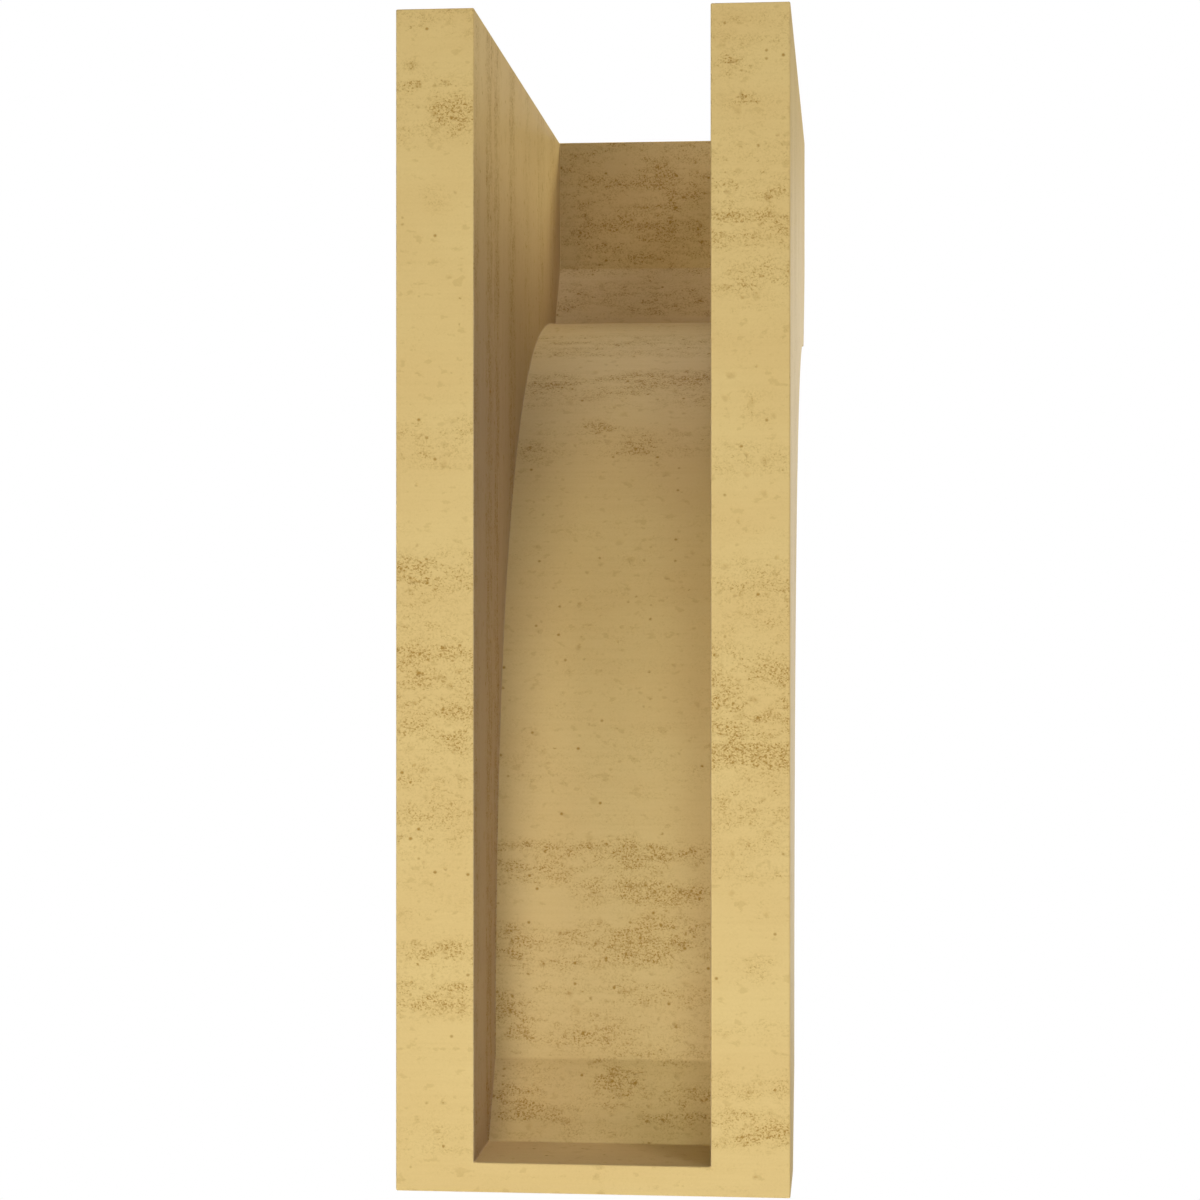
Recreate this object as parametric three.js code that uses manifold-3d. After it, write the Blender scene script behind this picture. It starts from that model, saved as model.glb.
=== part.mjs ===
// Faux wood corbel, as one cast shell that is open at its back and at its top.
//
// Millimetres, with +Z up. The wall face lies in the plane y = 0 and faces +Y, the corbel
// reaches out along -Y, and x = 0 is its plane of symmetry. The origin is on the wall face,
// in the middle of the bottom rail, which closes the hollow below.

import * as THREE from "three";
import { mergeVertices, toCreasedNormals } from "three/addons/utils/BufferGeometryUtils.js";
import Module from "manifold-3d";

// Overall size
const WIDTH = 152.4;
const DEPTH = 304.8;
const HEIGHT = 457.2;

// Thickness of the cast walls. The front wall and the bottom are one even sheet.
const SIDE_WALL = 30.5;
const FRONT_WALL = 11.5;

// Side profile, each point as its reach out from the wall and its height above the underside
const FOOT_EDGE = new THREE.Vector2(45, 0);
const COVE_START = new THREE.Vector2(70.5, 38);
const COVE_END = new THREE.Vector2(277.7, 352.8);
const CAP_CORNER = new THREE.Vector2(DEPTH, 390.1);

// The cove leaves the foot straight up and meets the cap almost level.
// Each handle is the length of the curve's tangent at that end.
const COVE_START_HANDLE = 319;
const COVE_END_HANDLE = 28;
const COVE_END_SLOPE = THREE.MathUtils.degToRad(5.3);
const COVE_STEPS = 40;

// How far the tool that cuts the hollow runs out past the back and the top
const OVERCUT = 10;

// Corners sharper than this stay crisp when the surface is shaded.
const CREASE_ANGLE = THREE.MathUtils.degToRad(20);

const wasm = await Module();
wasm.setup();

// The front face in side view, up to the cap: out along the underside, then up the
// slanted foot and the cove.
function coveLine() {
  const startHandle = COVE_START.clone().add(new THREE.Vector2(0, COVE_START_HANDLE));
  const endHandle = new THREE.Vector2(COVE_END_HANDLE, 0)
    .rotateAround(new THREE.Vector2(), COVE_END_SLOPE)
    .negate()
    .add(COVE_END);

  const line = new THREE.Path();
  line.moveTo(0, 0);
  line.lineTo(FOOT_EDGE.x, FOOT_EDGE.y);
  line.lineTo(COVE_START.x, COVE_START.y);
  line.bezierCurveTo(
    startHandle.x, startHandle.y,
    endHandle.x, endHandle.y,
    COVE_END.x, COVE_END.y,
  );
  return line.getPoints(COVE_STEPS);
}

// The rest of it: out along the cap's slanted underside, then straight up its front.
function capLine() {
  return [COVE_END.clone(), CAP_CORNER.clone(), new THREE.Vector2(DEPTH, HEIGHT)];
}

// A line moved to its left by an even distance, with its corners mitred.
function insideLine(line, distance) {
  return line.map((point, i) => {
    const arriving = point.clone().sub(line[Math.max(i - 1, 0)]).normalize();
    const leaving = line[Math.min(i + 1, line.length - 1)].clone().sub(point).normalize();
    const along = arriving.clone().add(leaving).normalize();
    const mitre = distance / Math.max(along.dot(arriving), along.dot(leaving));
    return new THREE.Vector2(point.x - along.y * mitre, point.y + along.x * mitre);
  });
}

// The whole profile, closed along the top and the wall face.
function shellOutline() {
  return [...coveLine(), ...capLine().slice(1), new THREE.Vector2(0, HEIGHT)];
}

// All that lies above the cove's inner face, run out past the wall face and the top.
function aboveCoveOutline() {
  const inside = insideLine(coveLine(), FRONT_WALL);
  inside[0].x = -OVERCUT;
  return [
    ...inside,
    new THREE.Vector2(DEPTH, inside[inside.length - 1].y),
    new THREE.Vector2(DEPTH, HEIGHT + OVERCUT),
    new THREE.Vector2(-OVERCUT, HEIGHT + OVERCUT),
  ];
}

// All that lies behind the cap's inner face, run out the same way.
function behindCapOutline() {
  const inside = insideLine(capLine(), FRONT_WALL);
  inside[inside.length - 1].y = HEIGHT + OVERCUT;
  return [
    new THREE.Vector2(-OVERCUT, 0),
    new THREE.Vector2(inside[0].x, 0),
    ...inside,
    new THREE.Vector2(-OVERCUT, HEIGHT + OVERCUT),
  ];
}

// A solid of the given width, centred on x = 0, from an outline of reach and height.
function extrudeAcross(outline, width) {
  const geometry = new THREE.ExtrudeGeometry(new THREE.Shape(outline), {
    depth: width,
    steps: 1,
    bevelEnabled: false,
  });
  geometry.translate(0, 0, -width / 2);
  geometry.applyMatrix4(new THREE.Matrix4().makeBasis(
    new THREE.Vector3(0, -1, 0),
    new THREE.Vector3(0, 0, 1),
    new THREE.Vector3(-1, 0, 0),
  ));
  return geometry;
}

function toManifold(geometry) {
  const surface = geometry.clone();
  surface.deleteAttribute("normal");
  surface.deleteAttribute("uv");
  const merged = mergeVertices(surface);
  return new wasm.Manifold(new wasm.Mesh({
    numProp: 3,
    vertProperties: new Float32Array(merged.attributes.position.array),
    triVerts: new Uint32Array(merged.index.array),
  }));
}

function toGeometry(manifold) {
  const mesh = manifold.getMesh();
  const geometry = new THREE.BufferGeometry();
  geometry.setAttribute("position", new THREE.BufferAttribute(mesh.vertProperties, 3));
  geometry.setIndex(new THREE.BufferAttribute(mesh.triVerts, 1));
  return toCreasedNormals(geometry, CREASE_ANGLE);
}

// Two thick side walls, the front wall between them, and the bottom rail, all in one piece.
function corbelShell() {
  const hollowWidth = WIDTH - 2 * SIDE_WALL;
  const body = toManifold(extrudeAcross(shellOutline(), WIDTH));
  const aboveCove = toManifold(extrudeAcross(aboveCoveOutline(), hollowWidth));
  const behindCap = toManifold(extrudeAcross(behindCapOutline(), hollowWidth));
  const hollow = aboveCove.intersect(behindCap);
  const fauxWood = new THREE.MeshStandardMaterial({
    color: new THREE.Color(0xd2b878),
    roughness: 0.72,
    metalness: 0,
  });
  const mesh = new THREE.Mesh(toGeometry(body.subtract(hollow)), fauxWood);
  mesh.name = "corbel_shell";
  return mesh;
}

const corbel = new THREE.Group();
const shell = corbelShell();
shell.position.z = -FRONT_WALL / 2;
corbel.add(shell);

export default corbel;
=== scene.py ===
"""Looks of a hollow faux wood corbel, seen from its open back, in a plain white studio.

Metres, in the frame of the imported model: +Z is up, the wall face lies in the plane y = 0,
and the corbel reaches out along -Y, with x = 0 as its plane of symmetry. In side view a
point is its reach out from the wall and its height above the underside.
"""

import math
import random

import bmesh
import bpy
import numpy as np
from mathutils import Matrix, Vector
from mathutils.geometry import delaunay_2d_cdt, interpolate_bezier
from mathutils.kdtree import KDTree


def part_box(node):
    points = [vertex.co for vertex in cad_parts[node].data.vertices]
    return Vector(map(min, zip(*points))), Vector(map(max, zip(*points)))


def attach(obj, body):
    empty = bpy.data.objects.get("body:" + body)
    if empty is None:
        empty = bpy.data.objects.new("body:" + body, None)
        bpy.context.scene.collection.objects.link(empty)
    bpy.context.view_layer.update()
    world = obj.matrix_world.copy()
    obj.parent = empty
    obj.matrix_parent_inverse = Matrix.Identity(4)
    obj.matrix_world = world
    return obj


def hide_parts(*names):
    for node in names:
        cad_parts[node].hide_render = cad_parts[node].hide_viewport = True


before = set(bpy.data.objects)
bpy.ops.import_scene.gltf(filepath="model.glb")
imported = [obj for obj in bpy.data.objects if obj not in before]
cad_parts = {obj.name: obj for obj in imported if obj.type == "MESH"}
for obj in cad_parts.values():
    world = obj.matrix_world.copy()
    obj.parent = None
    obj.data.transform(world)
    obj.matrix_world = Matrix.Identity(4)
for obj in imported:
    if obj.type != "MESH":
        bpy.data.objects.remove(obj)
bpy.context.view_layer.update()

MM = 0.001

# The shell's size, from the frame
NODE = "corbel_shell"
LOW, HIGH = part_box(NODE)
WIDTH = HIGH.x - LOW.x
DEPTH = HIGH.y - LOW.y
HEIGHT = HIGH.z - LOW.z

# Thickness of the cast walls
SIDE_WALL = 30.5 * MM
FRONT_WALL = 11.5 * MM
HOLLOW_HALF_WIDTH = WIDTH / 2 - SIDE_WALL
MID_SIDE_WALL = WIDTH / 2 - SIDE_WALL / 2

# Side profile, each point as its reach and its height
FOOT_EDGE = Vector((45, 0)) * MM
COVE_START = Vector((70.5, 38)) * MM
COVE_END = Vector((277.7, 352.8)) * MM
CAP_CORNER = Vector((DEPTH, 390.1 * MM))
COVE_START_HANDLE = 319 * MM
COVE_END_HANDLE = 28 * MM
COVE_END_SLOPE = math.radians(5.3)
COVE_STEPS = 120

# The casting's edges are softened. Edges that bend less than this belong to the cove.
EDGE_ROUNDING = 0.6 * MM
EDGE_SEGMENTS = 3
SHARP_ANGLE = math.radians(12)

# A face whose normal lies along X by more than this is on a side.
SIDEWAYS = 0.7

# Spacing of the mesh on flat stretches, how far it keeps from the rims of panels and pits, and
# the longest strip of the rounding that isn't cut across
PITCH = 4 * MM
RIM_GAP = 0.6 * PITCH
PIT_GAP = PITCH / 3
LONGEST_STRIP = 1.6 * PITCH

# How close counts as touching, for a point at a cut and for the points of a tiling
CUT_SNAP = 0.05 * MM
TILE_SNAP = 1e-7

# Casting pits: shallow bowls, made of rings of points, each as a share of the pit's radius
# and a count. The rim bulges out at two places and at three, by these shares of the radius,
# and the mesh's even points stay beyond PIT_REACH radii. The chances are those of a pit where
# there are no specks and where they are densest.
PIT_RADII = (0.9 * MM, 2.4 * MM)
PIT_DEPTHS = (0.12 * MM, 0.35 * MM)
PIT_RINGS = ((0.0, 1), (0.42, 6), (0.75, 9), (1.0, 12))
TWO_BULGES = 0.18
THREE_BULGES = 0.10
PIT_REACH = 1.25
PIT_CURVE = 1.5
PIT_CLEARANCE = 1.2 * MM
PIT_RIM_CLEARANCE = PITCH / 2
PIT_SPACING = 7.5 * MM
PIT_CHANCES = (0.12, 1.0)
PIT_SEED = 11

# Speckled bands, each as its middle, its half height and how dense it is. On the back they
# are given by height, and in the hollow by length down from the top along its front.
BACK_BANDS_PLUS_X = (
    (452, 6, 0.40), (418, 13, 0.45), (295, 5, 0.55), (285, 4, 0.35), (240, 7, 0.75), (207, 6, 0.75),
    (190, 18, 0.65), (165, 4, 0.30), (156, 5, 0.50), (143, 12, 0.45), (92, 5, 0.55), (75, 8, 0.75),
    (20, 5, 0.25), (205, 45, 0.30), (110, 30, 0.15),
)
BACK_BANDS_MINUS_X = (
    (452, 5, 0.40), (443, 3, 0.35), (400, 4, 0.30), (387, 12, 0.50), (370, 6, 0.70), (358, 3, 0.35),
    (351, 4, 0.60), (282, 7, 0.40), (237, 6, 0.45), (195, 12, 0.85), (172, 11, 0.95), (152, 5, 0.60),
    (139, 7, 0.50), (124, 4, 0.50), (64, 3, 0.25), (42, 6, 0.40), (27, 8, 0.75), (380, 50, 0.20),
    (190, 55, 0.40),
)
# In the hollow the band at 56 mm, just above the crease under the cap, is partly specks and partly painted
# shade on the lower part of the cap's inner face.
HOLLOW_BANDS = (
    (5, 6, 0.60), (30, 26, 0.60), (56, 12, 0.65), (84, 12, 0.60), (146, 8, 0.30), (175, 10, 0.60),
    (190, 6, 0.60), (222, 10, 0.65), (234, 6, 0.40), (262, 10, 0.30), (370, 75, 0.10), (412, 14, 0.20),
    (449, 6, 0.65), (463, 5, 0.50), (488, 10, 0.50), (506, 6, 0.40), (522, 10, 0.45), (545, 22, 0.45),
)

# On the hollow's two sides the bands stand upright, and are given by their reach.
HOLLOW_SIDE_BANDS = (
    (6, 8, 0.50), (42, 9, 0.85), (64, 8, 0.85), (112, 11, 0.70), (165, 10, 0.40), (215, 12, 0.50),
    (262, 12, 0.40),
)

# Clusters of specks, each as x, middle, half width, half height and how much they add
BACK_CLUSTERS = (
    (70, 431, 6, 6, 0.6), (56, 420, 8, 8, 0.5), (50, 413, 5, 5, 0.6), (61, 384, 5, 5, 0.45),
    (70, 205, 7, 6, 0.3), (50, 174, 7, 5, 0.6), (62, 91, 10, 5, 0.6), (-54, 433, 8, 4, 0.6),
    (-60, 421, 5, 3, 0.7), (-52, 372, 5, 4, 0.4), (-64, 302, 6, 7, 0.35), (-64, 197, 8, 5, 0.4),
    (-53, 190, 5, 4, 0.4), (-51, 176, 6, 7, 0.5), (-63, 88, 8, 4, 0.6), (-70, 28, 8, 5, 0.3),
)
HOLLOW_CLUSTERS = (
    (-4, 20, 7, 9, 0.7), (-6, 33, 8, 6, 0.4), (14, 10, 9, 6, -0.4), (22, 42, 16, 5, 0.3),
    (-8, 49, 18, 6, 0.3), (0, 73, 5, 6, 0.4), (-12, 86, 14, 4, 0.3), (-14, 216, 24, 7, 0.5),
    (24, 220, 10, 6, 0.3), (12, 252, 7, 7, 0.7), (-7, 262, 9, 6, 0.6), (38, 268, 7, 7, 0.3),
    (28, 456, 20, 4, 0.6), (-4, 448, 30, 4, 0.3), (-24, 464, 14, 4, 0.5), (26, 468, 12, 7, -0.5),
    (-24, 481, 16, 9, 0.4), (39, 486, 8, 8, 0.5), (-12, 504, 12, 6, 0.2), (40, 516, 9, 8, 0.7),
    (8, 524, 9, 7, 0.3), (-4, 543, 8, 7, 0.7), (36, 553, 10, 7, 0.6), (-28, 558, 14, 5, 0.4),
    (-16, 475, 30, 18, 0.3),
)

# Bands and clusters fade out evenly, to nothing at this many times their half size.
BAND_FADE = 1.5

# Bands on the sides that aren't seen, at uneven distances
OTHER_BAND_SPACING = (22, 60)
OTHER_BAND_HALF_HEIGHT = (5, 15)
OTHER_BAND_DENSITY = (0.3, 1.0)
OTHER_BANDS_SEED = 5
SIDE_DENSITY_SHARE = 0.45

# How far apart the sheets of the grain map lie
SHEET_DISTANCE = 2.0

# Colours of the primer and of what shows in its pores
TAN_WARM = (0.626, 0.460, 0.190, 1)
TAN_PALE = (0.646, 0.488, 0.207, 1)
BROWN = (0.315, 0.178, 0.028, 1)
MOST_BROWN = 0.9

# Painted shade in the hollow: its primer is mixed towards a darker, greyer tan, a little on its front and
# most deep down on its two sides.
HOLLOW_SHADE_TAN = (0.500, 0.376, 0.222, 1)
HOLLOW_FRONT_SHADE_SHARE = 0.15
HOLLOW_SIDE_SHADE_SHARES = (0.10, 1.0)
FULL_SHADE_DEPTH = 150 * MM

# Noises, each as its size in millimetres along the grain and across it, its detail and roughness
RAGGED = ((26, 8), 3, 0.60)
CLUMPS = ((7, 4), 4, 0.65)
PORES = ((1.05, 1.00), 1, 0.50)
BLOTCHES = ((6, 4), 3, 0.55)
STREAKS = ((70, 1.8), 2, 0.50)
CLOUDS = ((60, 35), 2, 0.50)
FINE = ((1.0, 0.8), 2, 0.70)
NOISE_MIDDLE = 0.5

# Cells that hold one speck or one point each, by the same two sizes
SPECKS = (0.54, 0.50)
POINTS = (3.2, 2.9)

# How thick the specks lie in a full band and outside the bands, and how strongly the noises
# break them up. Specks that lie thin are as dark as THIN_SPECKS of those that lie thick.
RAGGED_STRENGTH = 2.8
CLUMPED_STRENGTH = 2.8
BAND_THICKNESS = 0.90
OUTSIDE_THICKNESS = 0.12
OUTSIDE_STRENGTH = 0.25
FULL_THICKNESS = 1.1
THIN_SPECKS = 0.40

# How dark each mark is, with the levels of its noise or cell between which it sets in
SPECK_DARKNESS = (0.03, 0.85)
PORE_LEVEL = 0.62
PORE_LEVEL_IN_BANDS = 0.16
PORE_SOFTNESS = 0.25
PORE_DARKNESS = 0.40
PORES_OUTSIDE = 0.15
POINT_CHANCE = 0.11
POINTS_OUTSIDE = 0.16
POINT_CHANCE_SOFTNESS = 0.01
POINT_RADII = (0.30, 0.08)
POINT_DARKNESS = 0.90
BLOTCH_LEVELS = (0.59, 0.67)
BLOTCH_DARKNESS = 0.19
STREAK_LEVELS = (0.35, 0.75)
STREAK_DARKNESS = 0.04
STREAK_DARKNESS_INSIDE = 0.10
CLOUD_LEVELS = (0.3, 0.7)
FINE_LEVEL = 0.35
FINE_DARKNESS = 0.16
PIT_DARKNESS = 0.25

# Gloss and relief of the primer
PRIMER_ROUGHNESS = 0.55
HOLE_ROUGHNESS = 0.15
FINE_ROUGHNESS = 0.10
PRIMER_SPECULAR = 0.3
PORE_DEPTH = 0.15 * MM
RELIEF_STRENGTH = 0.2
FINE_RELIEF = 0.15

# The camera, from a fit of the photograph's perspective. It stands level behind the corbel,
# a little towards -X, and is turned back to it.
CAMERA_PLACE = (-0.0991, 0.9797, 0.2225)
CAMERA_TILT = math.radians(90)
CAMERA_TURN = math.radians(184.9346)
SENSOR_WIDTH = 36
LENS = 76.845
LENS_SHIFT = (-0.0245, 0.0007)

# Studio: a white floor in metres. The camera sees part of the backdrop's white in it, and with
# distance nothing else.
FLOOR_HEIGHT = -0.5
FLOOR_REACH = 20.0
FLOOR_FADE = (0.6, 2.0)
FLOOR_GLOW = 0.6
FLOOR_WHITE = (0.86, 0.86, 0.85, 1)
BACKDROP_LEVEL = 1.0
AMBIENT_LEVEL = 0.06

# Soft square lights, each as place, side, power in watts and tint, all turned to one place
LIGHTS = {
    "key": ((-1.02, -1.02, 1.38), 0.9, 18.0, (1.0, 0.93, 0.66)),
    "front_top": ((0.0, -1.0, 1.78), 0.9, 7.2, (0.97, 1.0, 0.84)),
    "front_low": ((-0.35, -2.0, 0.2), 1.0, 12.0, (1.0, 1.0, 1.0)),
    "side": ((1.4, -0.7, 0.3), 0.9, 9.0, (1.0, 0.98, 0.92)),
    "overhead": ((-0.12, -0.2, 2.0), 0.2, 5.6, (0.93, 0.88, 1.0)),
    "back_high": ((-0.9, 0.9, 1.3), 0.4, 5.0, (0.98, 0.88, 1.0)),
    "back_left": ((0.9, 1.0, 0.5), 0.6, 2.6, (0.94, 1.0, 0.94)),
    "back_middle": ((0.23, 1.25, 0.1), 0.35, 5.7, (1.0, 0.93, 0.74)),
    "back_right": ((-0.34, 1.25, 0.15), 0.25, 2.1, (0.86, 1.0, 0.92)),
    "back_low_left": ((0.16, 1.3, -0.3), 0.2, 2.5, (0.96, 0.92, 1.0)),
    "back_low": ((-0.15, 0.65, -0.25), 0.3, 0.9, (1.0, 1.0, 1.0)),
}
LIT_PLACE = Vector((0, -0.1, 0.22))


class Line:
    """A line in side view, measured along its length."""

    def __init__(self, points, solid_on_left):
        self.points = np.array([tuple(p) for p in points])
        steps = np.diff(self.points, axis=0)
        self.step_lengths = np.hypot(steps[:, 0], steps[:, 1])
        self.starts = np.concatenate(([0], np.cumsum(self.step_lengths)))
        self.length = self.starts[-1]
        self.directions = steps / self.step_lengths[:, None]
        self.side = 1 if solid_on_left else -1

    def step_at(self, s):
        i = np.searchsorted(self.starts, s, side="right") - 1
        return int(np.clip(i, 0, len(self.directions) - 1))

    def at(self, s):
        i = self.step_at(s)
        return Vector(self.points[i] + (s - self.starts[i]) * self.directions[i])

    def outward_at(self, s):
        """The way out of the solid there, turning evenly along a curve but not round a corner."""
        i = self.step_at(s)
        share = (s - self.starts[i]) / self.step_lengths[i]
        before = self.directions[max(i - 1, 0)]
        after = self.directions[min(i + 1, len(self.directions) - 1)]
        here = self.directions[i]
        smooth = math.cos(SHARP_ANGLE)
        at_start = (before + here) / 2 if before @ here > smooth else here
        at_end = (here + after) / 2 if here @ after > smooth else here
        along = (1 - share) * at_start + share * at_end
        return Vector((along[1], -along[0])).normalized() * self.side

    def project(self, points):
        """How far along the line the nearest place to each point lies, and how far off it is."""
        lengths = np.zeros(len(points))
        misses = np.full(len(points), np.inf)
        for start, direction, step_length, corner in zip(
            self.starts, self.directions, self.step_lengths, self.points
        ):
            offsets = points - corner
            along = np.clip(offsets @ direction, 0, step_length)
            miss = np.linalg.norm(offsets - along[:, None] * direction, axis=1)
            nearer = miss < misses
            lengths[nearer] = start + along[nearer]
            misses[nearer] = miss[nearer]
        return lengths, misses


def cove_line():
    """The front face in side view, up to the cap: the underside, the slanted foot and the cove."""
    start_handle = COVE_START + Vector((0, COVE_START_HANDLE))
    slope = Vector((math.cos(COVE_END_SLOPE), math.sin(COVE_END_SLOPE)))
    end_handle = COVE_END - COVE_END_HANDLE * slope
    corners = (COVE_START, start_handle, end_handle, COVE_END)
    curve = interpolate_bezier(*(p.to_3d() for p in corners), COVE_STEPS + 1)
    return [Vector((0, 0)), FOOT_EDGE] + [p.to_2d() for p in curve]


def cap_line():
    """The cap's slanted underside, then its upright front."""
    return [COVE_END, CAP_CORNER, Vector((DEPTH, HEIGHT))]


def inside_line(line, distance):
    """The line moved to its left by an even distance, with mitred corners."""
    moved = []
    for i, point in enumerate(line):
        arriving = (point - line[max(i - 1, 0)]).normalized()
        leaving = (line[min(i + 1, len(line) - 1)] - point).normalized()
        along = (arriving + leaving).normalized()
        mitre = distance / max(along.dot(arriving), along.dot(leaving))
        moved.append(point + mitre * Vector((-along.y, along.x)))
    return moved


def meeting(a, b, c, d):
    """Where the stretch from a to b meets the one from c to d, or None."""
    ab, cd, ac = b - a, d - c, c - a
    spread = ab.x * cd.y - ab.y * cd.x
    if not spread:
        return None
    share = (ac.x * cd.y - ac.y * cd.x) / spread
    other = (ac.x * ab.y - ac.y * ab.x) / spread
    if not (0 <= share <= 1 and 0 <= other <= 1):
        return None
    return a + share * ab


def inner_line():
    """The hollow's floor, its cove and the inside of the cap, from the wall face up to the top."""
    above_cove = inside_line(cove_line(), FRONT_WALL)
    behind_cap = inside_line(cap_line(), FRONT_WALL)
    for i in range(len(above_cove) - 2, 0, -1):
        ridge = meeting(above_cove[i], above_cove[i + 1], behind_cap[0], behind_cap[1])
        if ridge:
            return above_cove[: i + 1] + [ridge] + behind_cap[1:]


FRONT_POINTS = cove_line() + cap_line()[1:]
INNER_POINTS = inner_line()
OUTLINE = Line(FRONT_POINTS + [Vector((0, HEIGHT)), Vector((0, 0))], solid_on_left=True)
HOLLOW = Line(INNER_POINTS, solid_on_left=False)


def in_frame(x, point):
    """A point of the side view, at x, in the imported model's frame."""
    return Vector((x, HIGH.y - point.x, LOW.z + point.y))


def side_view(positions):
    """Reach and height of each position, as an array of pairs."""
    return np.stack((HIGH.y - positions[:, 1], positions[:, 2] - LOW.z), axis=-1)


class SideChart:
    """A flat map of a face that looks along X: height, then reach."""

    def __init__(self, x, facing):
        self.x = x
        self.facing = facing

    def flatten(self, positions):
        return side_view(positions)[:, ::-1]

    def place(self, u, v):
        return in_frame(self.x, Vector((v, u)))

    def normal(self, u, v):
        return Vector((self.facing, 0, 0))


class SweptChart:
    """A flat map of faces that are swept along X: x, then length along their line."""

    def __init__(self, line):
        self.line = line

    def flatten(self, positions):
        lengths, _ = self.line.project(side_view(positions))
        return np.stack((positions[:, 0], lengths), axis=-1)

    def place(self, u, v):
        return in_frame(u, self.line.at(v))

    def normal(self, u, v):
        outward = self.line.outward_at(v)
        return Vector((0, -outward.x, outward.y))


def chart_of(faces):
    """The map that suits a panel, from the side that it faces and the line that it lies on."""
    normal = faces[0].normal
    if abs(normal.x) > SIDEWAYS:
        return SideChart(faces[0].verts[0].co.x, math.copysign(1, normal.x))
    middles = side_view(np.array([f.calc_center_median() for f in faces]))
    return SweptChart(min((OUTLINE, HOLLOW), key=lambda line: line.project(middles)[1].sum()))


def bands_between(length, rng):
    """Bands at uneven distances over a length, as middle, half height and density."""
    bands = []
    middle = rng.uniform(*OTHER_BAND_SPACING) / 2
    while middle * MM < length:
        half_height = rng.uniform(*OTHER_BAND_HALF_HEIGHT)
        density = rng.uniform(*OTHER_BAND_DENSITY)
        bands.append((middle, half_height, density))
        middle += rng.uniform(*OTHER_BAND_SPACING)
    return tuple(bands)


OTHER_BANDS = bands_between(OUTLINE.length, random.Random(OTHER_BANDS_SEED))


def faded(reach):
    """1 in the middle of a band or cluster, then evenly down to 0 where it has faded out."""
    share = np.clip(BAND_FADE - reach, 0, 1)
    return share * share * (3 - 2 * share)


def band_density(bands, v):
    """How dense the specks of the bands are at v, from 0 to 1."""
    density = np.zeros_like(v)
    for middle, half_height, strength in bands:
        density = np.maximum(density, strength * faded(np.abs(v / MM - middle) / half_height))
    return density


def cluster_density(clusters, u, v):
    """How much the clusters of specks add at each place, or take away."""
    density = np.zeros_like(v)
    for x, middle, half_width, half_height, strength in clusters:
        reach = np.hypot((u / MM - x) / half_width, (v / MM - middle) / half_height)
        density += strength * faded(reach)
    return density


def speck_density(chart, uv):
    """How dense the specks are at each place of a chart, from 0 to 1."""
    u, v = uv[:, 0], uv[:, 1]
    if isinstance(chart, SideChart):
        if abs(chart.x) < MID_SIDE_WALL:
            return band_density(HOLLOW_SIDE_BANDS, v)
        return band_density(OTHER_BANDS, v) * SIDE_DENSITY_SHARE
    if chart.line is HOLLOW:
        down = HOLLOW.length - v
        density = band_density(HOLLOW_BANDS, down) + cluster_density(HOLLOW_CLUSTERS, u, down)
        return np.clip(density, 0, 1)
    height = OUTLINE.length - v
    bands = np.where(
        u > 0,
        band_density(BACK_BANDS_PLUS_X, height),
        band_density(BACK_BANDS_MINUS_X, height),
    )
    back = np.clip(bands + cluster_density(BACK_CLUSTERS, u, height), 0, 1)
    return np.where(height < HEIGHT, back, band_density(OTHER_BANDS, v))


def block_out():
    """The plain shell, with sharp edges and one face for each flat side."""
    half, hollow = WIDTH / 2, HOLLOW_HALF_WIDTH
    bm = bmesh.new()

    def row(x, line):
        return [bm.verts.new(in_frame(x, p)) for p in line]

    front = {x: row(x, FRONT_POINTS) for x in (-half, half)}
    inner = {x: row(x, INNER_POINTS) for x in (-hollow, hollow)}
    rim = {x: bm.verts.new(in_frame(x, Vector((0, HEIGHT)))) for x in (-half, -hollow, hollow, half)}

    for rows in (front, inner):
        for x in rows:
            bm.faces.new(rows[x] + [rim[x]])
        left, right = rows.values()
        for i in range(len(left) - 1):
            bm.faces.new((left[i], right[i], right[i + 1], left[i + 1]))

    # The back and the top, each as a U round the opening
    for end in (0, -1):
        bm.faces.new((
            front[-half][end], front[half][end], rim[half], rim[hollow],
            inner[hollow][end], inner[-hollow][end], rim[-hollow], rim[-half],
        ))
    bmesh.ops.recalc_face_normals(bm, faces=bm.faces)
    return bm


def soften_edges(bm):
    """Rounds the sharp edges, and returns the faces that make the rounding."""
    sharp = [e for e in bm.edges if e.calc_face_angle(0) > SHARP_ANGLE]
    made = bmesh.ops.bevel(
        bm,
        geom=sharp,
        offset=EDGE_ROUNDING,
        offset_type="OFFSET",
        segments=EDGE_SEGMENTS,
        profile=0.5,
        affect="EDGES",
        clamp_overlap=True,
    )
    return made["faces"]


def panels_between(bm, rounding):
    """The faces that the rounding leaves, grouped where they touch."""
    rounded = set(rounding)
    waiting = dict.fromkeys(f for f in bm.faces if f not in rounded)
    panels = []
    while waiting:
        group = [next(iter(waiting))]
        del waiting[group[0]]
        for face in group:
            for edge in face.edges:
                for other in edge.link_faces:
                    if other in waiting:
                        del waiting[other]
                        group.append(other)
        panels.append(group)
    return panels


def cut_long_strips(bm, panels):
    """Cuts the rounding's long strips across, so that the panels' rims have close points."""
    kept = {f for panel in panels for f in panel}
    for axis in range(3):
        along = Vector([float(i == axis) for i in range(3)])
        start, length = LOW[axis], (HIGH - LOW)[axis]
        count = round(length / PITCH)
        for k in range(1, count):
            place = along * (start + length * k / count)
            long_faces = [
                f for f in bm.faces
                if f not in kept and max(e.calc_length() for e in f.edges) > LONGEST_STRIP
            ]
            if not long_faces:
                break
            edges = dict.fromkeys(e for f in long_faces for e in f.edges)
            verts = dict.fromkeys(v for f in long_faces for v in f.verts)
            geometry = [*long_faces, *edges, *verts]
            bmesh.ops.bisect_plane(bm, geom=geometry, dist=CUT_SNAP, plane_co=place, plane_no=along)


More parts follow.
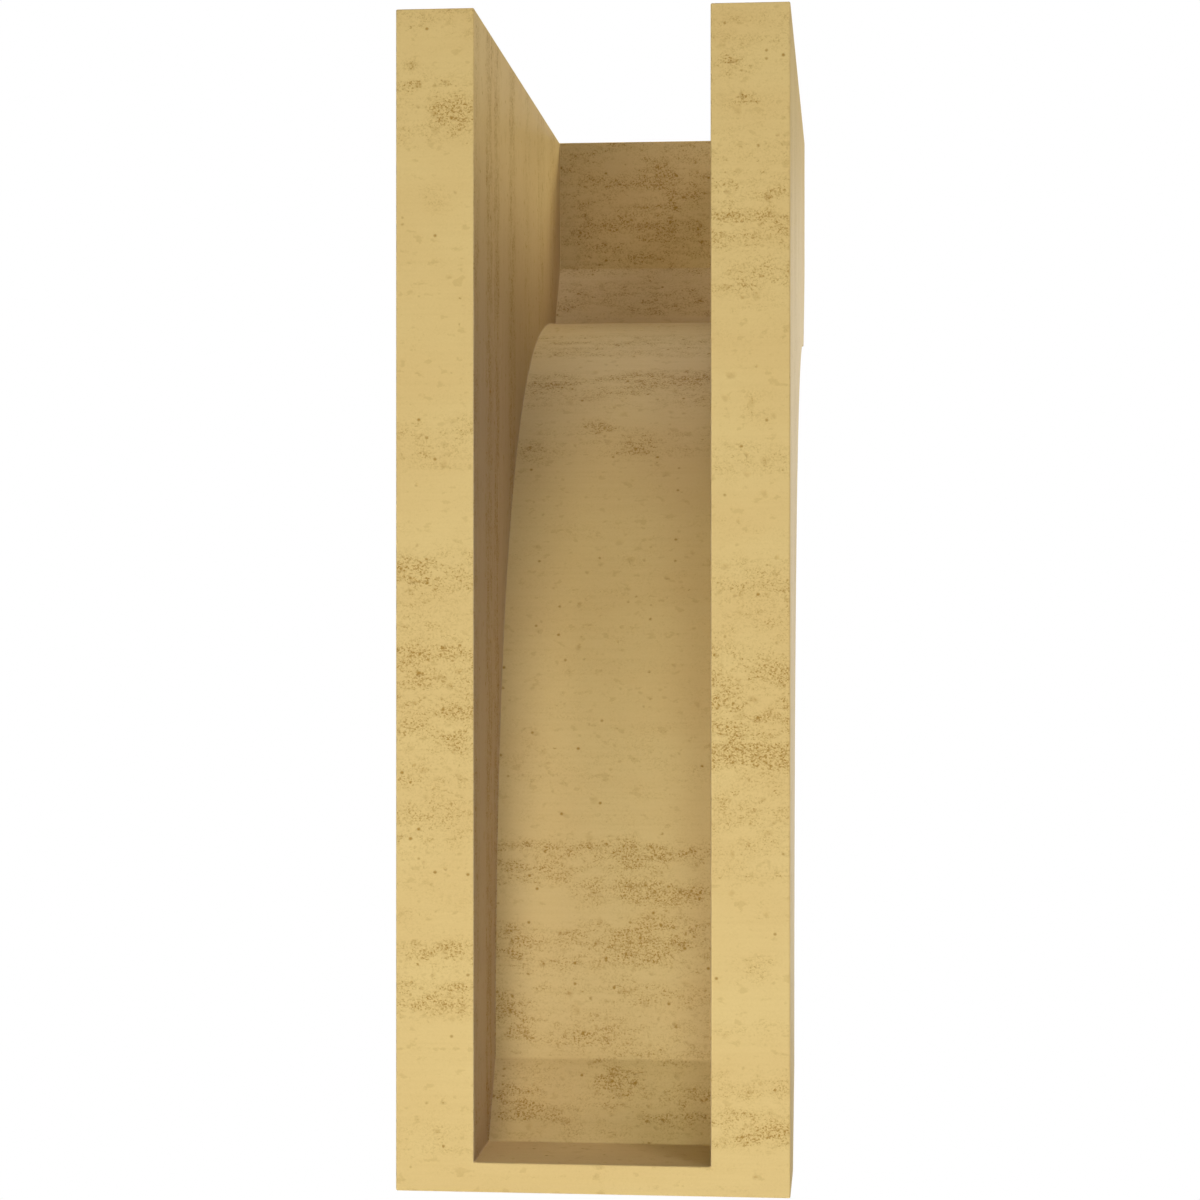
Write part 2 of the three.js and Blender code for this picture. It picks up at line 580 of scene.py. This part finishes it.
def tree_of(points):
    """A tree that finds the nearest of some flat points."""
    tree = KDTree(len(points))
    for i, (u, v) in enumerate(points):
        tree.insert((u, v, 0), i)
    tree.balance()
    return tree


class Pits:
    """Shallow bowls scattered over one panel, as centre, radius, depth and turn on its map."""

    def __init__(self, chart, rim, rng):
        low, high = rim.min(0), rim.max(0)
        rim_tree = tree_of(rim)
        places = []
        for _ in range(round((high - low).prod() / PIT_SPACING**2)):
            u = rng.uniform(low[0], high[0])
            v = rng.uniform(low[1], high[1])
            places.append((u, v))
        self.found = []
        for (u, v), density in zip(places, speck_density(chart, np.array(places))):
            size = rng.random() ** 2
            radius = PIT_RADII[0] + size * (PIT_RADII[1] - PIT_RADII[0])
            depth = PIT_DEPTHS[0] + rng.random() * (PIT_DEPTHS[1] - PIT_DEPTHS[0])
            turn = rng.uniform(0, math.tau)
            wanted = rng.random() < PIT_CHANCES[0] + (PIT_CHANCES[1] - PIT_CHANCES[0]) * density
            room = radius + PIT_CLEARANCE
            clear_of_rim = rim_tree.find((u, v, 0))[2] > room + PIT_RIM_CLEARANCE
            clear_of_pits = all(math.hypot(u - p[0], v - p[1]) > room + p[2] for p in self.found)
            if wanted and clear_of_rim and clear_of_pits:
                self.found.append((u, v, radius, depth, turn))

    def points(self):
        """Every ring's points, each with how deep it lies and how far into the pit it is."""
        for u, v, radius, depth, turn in self.found:
            for share, count in PIT_RINGS:
                sunk = (1 - share**2) ** PIT_CURVE
                for k in range(count):
                    angle = turn + math.tau * k / count
                    two_bulges = TWO_BULGES * math.sin(2 * angle + turn)
                    three_bulges = THREE_BULGES * math.sin(3 * angle - turn)
                    reach = radius * share * (1 + two_bulges + three_bulges)
                    yield u + reach * math.cos(angle), v + reach * math.sin(angle), depth * sunk, sunk


def even_points(rim, pits):
    """A triangular grid over the rim's box, clear of the rim and of the pits."""
    low, high = rim.min(0), rim.max(0)
    rim_tree = tree_of(rim)
    centres = tree_of([p[:2] for p in pits.found])
    row_height = PITCH * math.sqrt(3) / 2
    rows = int((high[1] - low[1]) / row_height) + 1
    columns = int((high[0] - low[0]) / PITCH) + 1
    points = []
    for j in range(rows):
        shift = 0.75 if j % 2 else 0.25
        for i in range(columns):
            u = low[0] + (i + shift) * PITCH
            v = low[1] + (j + 0.5) * row_height
            if rim_tree.find((u, v, 0))[2] < RIM_GAP:
                continue
            nearest = centres.find((u, v, 0))[1]
            if nearest is not None:
                pit = pits.found[nearest]
                if math.hypot(u - pit[0], v - pit[1]) < PIT_REACH * pit[2] + PIT_GAP:
                    continue
            points.append((u, v))
    return points


def retile(bm, panel, sunk, facing, rng):
    """Replaces a panel by even triangles, with rings of points in its pits."""
    members = set(panel)
    chart = chart_of(panel)
    rim_edges = [
        e for f in panel for e in f.edges if sum(other in members for other in e.link_faces) == 1
    ]
    rim_verts = list(dict.fromkeys(v for e in rim_edges for v in e.verts))
    order = {v: i for i, v in enumerate(rim_verts)}
    rim = chart.flatten(np.array([v.co for v in rim_verts]))
    for vertex, place in zip(rim_verts, rim):
        vertex[facing] = chart.normal(*place)
    pits = Pits(chart, rim, rng)
    pit_points = list(pits.points())
    places = [tuple(p) for p in rim] + even_points(rim, pits) + [p[:2] for p in pit_points]
    depths = [(0, 0)] * (len(places) - len(pit_points)) + [p[2:] for p in pit_points]
    borders = [(order[e.verts[0]], order[e.verts[1]]) for e in rim_edges]
    inside_borders = 1
    coordinates, _, triangles, origins, _, _ = delaunay_2d_cdt(
        [Vector(p) for p in places], borders, [], inside_borders, TILE_SNAP
    )
    bmesh.ops.delete(bm, geom=panel, context="FACES_ONLY")

    def new_vertex(i):
        vertex = bm.verts.new()
        depth, vertex[sunk] = depths[origins[i][0]]
        normal = chart.normal(*coordinates[i])
        vertex.co = chart.place(*coordinates[i]) - normal * depth
        if not depth:
            vertex[facing] = normal
        return vertex

    verts = {}
    for triangle in triangles:
        for i in triangle:
            if i not in verts:
                on_rim = origins[i][0] < len(rim_verts)
                verts[i] = rim_verts[origins[i][0]] if on_rim else new_vertex(i)
        bm.faces.new([verts[i] for i in triangle])


def shell_mesh():
    """The whole shell as one closed mesh, with softened edges and shallow pits."""
    rng = random.Random(PIT_SEED)
    bm = block_out()
    rounding = soften_edges(bm)
    panels = panels_between(bm, rounding)
    cut_long_strips(bm, panels)
    sunk = bm.verts.layers.float.new("sunk")
    facing = bm.verts.layers.float_vector.new("facing")
    for panel in panels:
        retile(bm, panel, sunk, facing, rng)
    for edge in [e for e in bm.edges if not e.link_faces]:
        bm.edges.remove(edge)
    bmesh.ops.recalc_face_normals(bm, faces=bm.faces)
    for face in bm.faces:
        face.smooth = True
    mesh = bpy.data.meshes.new("corbel_shell_surface")
    bm.to_mesh(mesh)
    bm.free()
    keep_panels_flat(mesh)
    lay_out_grain(mesh)
    return mesh


def values_of(items, name, width):
    """One value of each item of a mesh's collection, as an array with a row for each item."""
    values = np.empty(len(items) * width, np.float32)
    items.foreach_get(name, values)
    return values.reshape(-1, width).astype(float)


def counts_of(items, name):
    """One whole number of each item of a mesh's collection."""
    return values_of(items, name, 1)[:, 0].astype(int)


def keep_panels_flat(mesh):
    """Shades each panel by its own true direction, so that only edges and pits look rounded."""
    facing = values_of(mesh.attributes["facing"].data, "vector", 3)
    normals = values_of(mesh.vertex_normals, "vector", 3)
    flat = facing.any(axis=1)
    normals[flat] = facing[flat]
    mesh.normals_split_custom_set_from_vertices(normals.tolist())
    mesh.attributes.remove(mesh.attributes["facing"])


def lay_out_grain(mesh):
    """Maps the mesh in metres, along the grain and then across it. It also notes how speckled
    each corner is, and how much of the hollow's painted shade, a darker, greyer tan, it has.

    The grain runs level on the back, the front and in the hollow, and upright on the sides."""
    corners = counts_of(mesh.loops, "vertex_index")
    counts = counts_of(mesh.polygons, "loop_total")
    starts = counts_of(mesh.polygons, "loop_start")
    positions = values_of(mesh.vertices, "co", 3)
    profile = side_view(positions)
    outline_lengths, outline_misses = OUTLINE.project(profile)
    hollow_lengths, hollow_misses = HOLLOW.project(profile)
    x, z = positions[corners, 0], positions[corners, 2]

    def face_sums(values):
        return np.add.reduceat(values[corners], starts)

    on_side = np.repeat(np.abs(values_of(mesh.polygons, "normal", 3)[:, 0]) > SIDEWAYS, counts)
    nearer_hollow = np.repeat(face_sums(hollow_misses) < face_sums(outline_misses), counts)
    in_hollow = np.where(on_side, np.abs(x) < MID_SIDE_WALL, nearer_hollow)

    # The outline closes on itself, so faces that bridge its ends are kept together.
    lengths = outline_lengths[corners]
    first = np.repeat(lengths[starts], counts)
    lengths = lengths + OUTLINE.length * np.round((first - lengths) / OUTLINE.length)

    outline_grain = np.stack((x, lengths), axis=-1)
    hollow_grain = np.stack((x, hollow_lengths[corners]), axis=-1)
    side_grain = profile[corners][:, ::-1]
    grain = np.zeros_like(outline_grain)
    speckling = np.zeros_like(x)
    for members, chart, mapped in (
        (~on_side & ~in_hollow, SweptChart(OUTLINE), outline_grain),
        (~on_side & in_hollow, SweptChart(HOLLOW), hollow_grain),
        (on_side & ~in_hollow, SideChart(WIDTH / 2, 1), side_grain),
        (on_side & in_hollow, SideChart(HOLLOW_HALF_WIDTH, -1), side_grain),
    ):
        grain[members] = mapped[members]
        speckling[members] = speck_density(chart, mapped[members])

    # The outline, the hollow and the sides at -X and +X, outer and inner, are sheets that lie
    # apart on the map, so that no two of them share their specks.
    sheet = in_hollow * 1 + on_side * (2 + 2 * (x > 0))
    grain[:, 0] += SHEET_DISTANCE * sheet

    # Painted shade in the hollow: a small share on its front, and on its two sides a share that grows with
    # depth below the top
    side_shade_shares = np.clip((HIGH.z - z) / FULL_SHADE_DEPTH, *HOLLOW_SIDE_SHADE_SHARES)
    inside = np.where(on_side, side_shade_shares, HOLLOW_FRONT_SHADE_SHARE) * in_hollow

    layer = mesh.uv_layers.new(name="grain")
    layer.data.foreach_set("uv", grain.astype(np.float32).ravel())
    for name, values in (("speckling", speckling), ("inside", inside)):
        attribute = mesh.attributes.new(name, "FLOAT", "CORNER")
        attribute.data.foreach_set("value", values.astype(np.float32))


class Shader:
    """Short calls that add a material's nodes and join them."""

    def __init__(self, tree):
        self.tree = tree

    def node(self, kind, settings=None, **inputs):
        """A node, with each input given by its name, or by its number after an underscore."""
        made = self.tree.nodes.new(kind)
        for name, value in (settings or {}).items():
            setattr(made, name, value)
        for name, value in inputs.items():
            socket = made.inputs[int(name[1:]) if name[0] == "_" else name.replace("_", " ")]
            if isinstance(value, bpy.types.NodeSocket):
                self.tree.links.new(value, socket)
            else:
                socket.default_value = value
        return made

    def math(self, operation, a, b):
        return self.node("ShaderNodeMath", {"operation": operation}, _0=a, _1=b).outputs[0]

    def taken_together(self, operation, values):
        """The values joined by one operation, in their order."""
        total = values[0]
        for value in values[1:]:
            total = self.math(operation, total, value)
        return total

    def plus(self, *values):
        return self.taken_together("ADD", values)

    def less(self, a, b):
        return self.math("SUBTRACT", a, b)

    def times(self, *values):
        return self.taken_together("MULTIPLY", values)

    def ramp(self, value, low, high):
        """0 at low, 1 at high, and straight between."""
        return self.node("ShaderNodeMapRange", Value=value, From_Min=low, From_Max=high).outputs[0]

    def step(self, value, low, high):
        """0 below low, 1 above high, and smooth between."""
        settings = {"interpolation_type": "SMOOTHSTEP"}
        return self.node("ShaderNodeMapRange", settings, Value=value, From_Min=low, From_Max=high).outputs[0]

    def attribute(self, name):
        return self.node("ShaderNodeAttribute", {"attribute_name": name}).outputs["Fac"]

    def stretched(self, place, along, across):
        scale = (1 / along, 1 / across, 1)
        return self.node("ShaderNodeVectorMath", {"operation": "MULTIPLY"}, _0=place, _1=scale).outputs[0]

    def noise(self, place, size, detail, roughness):
        vector = self.stretched(place, *size)
        made = self.node("ShaderNodeTexNoise", Vector=vector, Scale=1.0, Detail=detail, Roughness=roughness)
        return made.outputs[0]

    def swing(self, place, noise, strength):
        """A noise that swings both ways about nothing."""
        return self.times(self.less(self.noise(place, *noise), NOISE_MIDDLE), strength)

    def cells(self, place, size):
        """A chance for each cell of an uneven lattice, and the distance from the cell's middle."""
        made = self.node("ShaderNodeTexVoronoi", Vector=self.stretched(place, *size), Scale=1.0)
        chance = self.node("ShaderNodeSeparateColor", _0=made.outputs["Color"]).outputs[0]
        return chance, made.outputs["Distance"]

    def blend(self, share, a, b):
        return self.node("ShaderNodeMix", {"data_type": "RGBA"}, _0=share, _6=a, _7=b).outputs[2]


def faux_wood_material():
    """Golden tan primer with fine dark specks, which lie thick in ragged bands."""
    material = bpy.data.materials.new("faux_wood")
    material.use_nodes = True
    shader = Shader(material.node_tree)
    surface = material.node_tree.nodes["Principled BSDF"]

    # Places are in millimetres, along the grain and then across it.
    grain = shader.node("ShaderNodeUVMap", {"uv_map": "grain"}).outputs["UV"]
    place = shader.stretched(grain, MM, MM)
    bands = shader.attribute("speckling")
    sunk = shader.attribute("sunk")
    inside = shader.attribute("inside")

    # How thick the specks lie: the bands, broken up by two uneven noises
    uneven = shader.plus(
        shader.swing(place, RAGGED, RAGGED_STRENGTH), shader.swing(place, CLUMPS, CLUMPED_STRENGTH)
    )
    in_bands = shader.times(bands, shader.plus(uneven, BAND_THICKNESS))
    outside = shader.plus(shader.times(uneven, OUTSIDE_STRENGTH), OUTSIDE_THICKNESS)
    thickness = shader.ramp(shader.plus(in_bands, outside), 0.0, FULL_THICKNESS)

    # Specks, one to a cell, most of them faint and a few dark
    chance, _ = shader.cells(place, SPECKS)
    faintest, darkest = SPECK_DARKNESS
    darkness = shader.plus(shader.times(chance, chance, chance, darkest), faintest)
    fullness = shader.plus(shader.times(thickness, 1 - THIN_SPECKS), THIN_SPECKS)
    speck = shader.times(thickness, fullness, darkness)

    # Finer pores between them
    pore_level = shader.less(PORE_LEVEL, shader.times(thickness, PORE_LEVEL_IN_BANDS))
    pore = shader.ramp(shader.less(shader.noise(place, *PORES), pore_level), 0.0, PORE_SOFTNESS)
    pore = shader.times(pore, shader.plus(thickness, PORES_OUTSIDE), PORE_DARKNESS)

    # Rarer marks: single dark points, soft blotches and faint streaks over all
    chance, distance = shader.cells(place, POINTS)
    luck = shader.times(shader.plus(thickness, POINTS_OUTSIDE), POINT_CHANCE)
    chosen = shader.ramp(shader.less(luck, chance), 0.0, POINT_CHANCE_SOFTNESS)
    point = shader.times(chosen, shader.ramp(distance, *POINT_RADII), POINT_DARKNESS)
    blotch = shader.step(shader.noise(place, *BLOTCHES), *BLOTCH_LEVELS)
    streak = shader.step(shader.noise(place, *STREAKS), *STREAK_LEVELS)
    # Streaks are darker where the hollow's painted shade lies.
    streak_darkness = shader.plus(shader.times(inside, STREAK_DARKNESS_INSIDE), STREAK_DARKNESS)
    fine = shader.noise(place, *FINE)

    holes = shader.plus(speck, pore, point)
    stain = shader.plus(
        shader.times(blotch, BLOTCH_DARKNESS),
        shader.times(streak, streak_darkness),
        shader.times(shader.less(fine, FINE_LEVEL), FINE_DARKNESS),
        shader.times(sunk, PIT_DARKNESS),
        holes,
    )
    cloud = shader.step(shader.noise(place, *CLOUDS), *CLOUD_LEVELS)
    # The tan is mixed towards the hollow's painted shade, a darker, greyer tan, by the inside share.
    tan = shader.blend(inside, shader.blend(cloud, TAN_WARM, TAN_PALE), HOLLOW_SHADE_TAN)
    colour = shader.blend(shader.math("MINIMUM", stain, MOST_BROWN), tan, BROWN)
    shader.tree.links.new(colour, surface.inputs["Base Color"])

    # The specks are rougher than the primer round them and a little lower.
    roughness = shader.plus(
        shader.times(holes, HOLE_ROUGHNESS), shader.times(fine, FINE_ROUGHNESS), PRIMER_ROUGHNESS
    )
    shader.tree.links.new(roughness, surface.inputs["Roughness"])
    surface.inputs["Specular IOR Level"].default_value = PRIMER_SPECULAR
    height = shader.less(shader.times(fine, FINE_RELIEF), holes)
    bump = shader.node("ShaderNodeBump", Strength=RELIEF_STRENGTH, Distance=PORE_DEPTH, Height=height)
    shader.tree.links.new(bump.outputs["Normal"], surface.inputs["Normal"])
    return material


def make_shell():
    shell = bpy.data.objects.new("corbel_shell_surface", shell_mesh())
    bpy.context.scene.collection.objects.link(shell)
    shell.data.materials.append(faux_wood_material())
    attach(shell, "root")
    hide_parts(NODE)


def make_camera():
    data = bpy.data.cameras.new("camera")
    data.sensor_fit = "HORIZONTAL"
    data.sensor_width = SENSOR_WIDTH
    data.lens = LENS
    data.shift_x, data.shift_y = LENS_SHIFT
    camera = bpy.data.objects.new("camera", data)
    camera.location = CAMERA_PLACE
    camera.rotation_euler = (CAMERA_TILT, 0, CAMERA_TURN)
    bpy.context.scene.collection.objects.link(camera)
    bpy.context.scene.camera = camera


def floor_material():
    """Matt white, with some of the backdrop's white near the corbel and all of it further out."""
    material = bpy.data.materials.new("studio_floor")
    material.use_nodes = True
    shader = Shader(material.node_tree)
    place = shader.node("ShaderNodeTexCoord").outputs["Object"]
    distance = shader.node("ShaderNodeVectorMath", {"operation": "LENGTH"}, _0=place).outputs["Value"]
    far = shader.step(distance, *FLOOR_FADE)
    glow_share = shader.plus(shader.times(far, 1 - FLOOR_GLOW), FLOOR_GLOW)
    seen = shader.node("ShaderNodeLightPath").outputs["Is Camera Ray"]
    matt = shader.node("ShaderNodeBsdfDiffuse", Color=FLOOR_WHITE).outputs[0]
    glow = shader.node("ShaderNodeEmission", Strength=BACKDROP_LEVEL).outputs[0]
    mixed = shader.node("ShaderNodeMixShader", _0=shader.times(glow_share, seen), _1=matt, _2=glow)
    surface = material.node_tree.nodes["Material Output"].inputs["Surface"]
    shader.tree.links.new(mixed.outputs[0], surface)
    return material


def make_floor():
    """A wide level floor, well below the corbel, which hangs."""
    corners = [(x * FLOOR_REACH, y * FLOOR_REACH, 0) for x, y in ((-1, -1), (1, -1), (1, 1), (-1, 1))]
    mesh = bpy.data.meshes.new("studio_floor")
    mesh.from_pydata(corners, [], [(0, 1, 2, 3)])
    mesh.materials.append(floor_material())
    floor = bpy.data.objects.new("studio_floor", mesh)
    floor.location.z = FLOOR_HEIGHT
    bpy.context.scene.collection.objects.link(floor)


def make_lights():
    for name, (place, side, power, tint) in LIGHTS.items():
        data = bpy.data.lights.new(name, "AREA")
        data.shape = "SQUARE"
        data.size = side
        data.energy = power
        data.color = tint
        light = bpy.data.objects.new(name, data)
        light.location = place
        light.rotation_euler = (LIT_PLACE - Vector(place)).to_track_quat("-Z", "Y").to_euler()
        light.visible_camera = False
        bpy.context.scene.collection.objects.link(light)


def make_backdrop():
    """An even white that the camera sees all round, and a dimmer light from it."""
    world = bpy.data.worlds.new("studio")
    world.use_nodes = True
    shader = Shader(world.node_tree)
    seen = shader.node("ShaderNodeLightPath").outputs["Is Camera Ray"]
    level = shader.node("ShaderNodeMix", _0=seen, _2=AMBIENT_LEVEL, _3=BACKDROP_LEVEL).outputs[0]
    background = world.node_tree.nodes["Background"]
    background.inputs["Color"].default_value = (1, 1, 1, 1)
    shader.tree.links.new(level, background.inputs["Strength"])
    bpy.context.scene.world = world
    bpy.context.scene.view_settings.view_transform = "Standard"


make_camera()
make_backdrop()
make_floor()
make_lights()
make_shell()
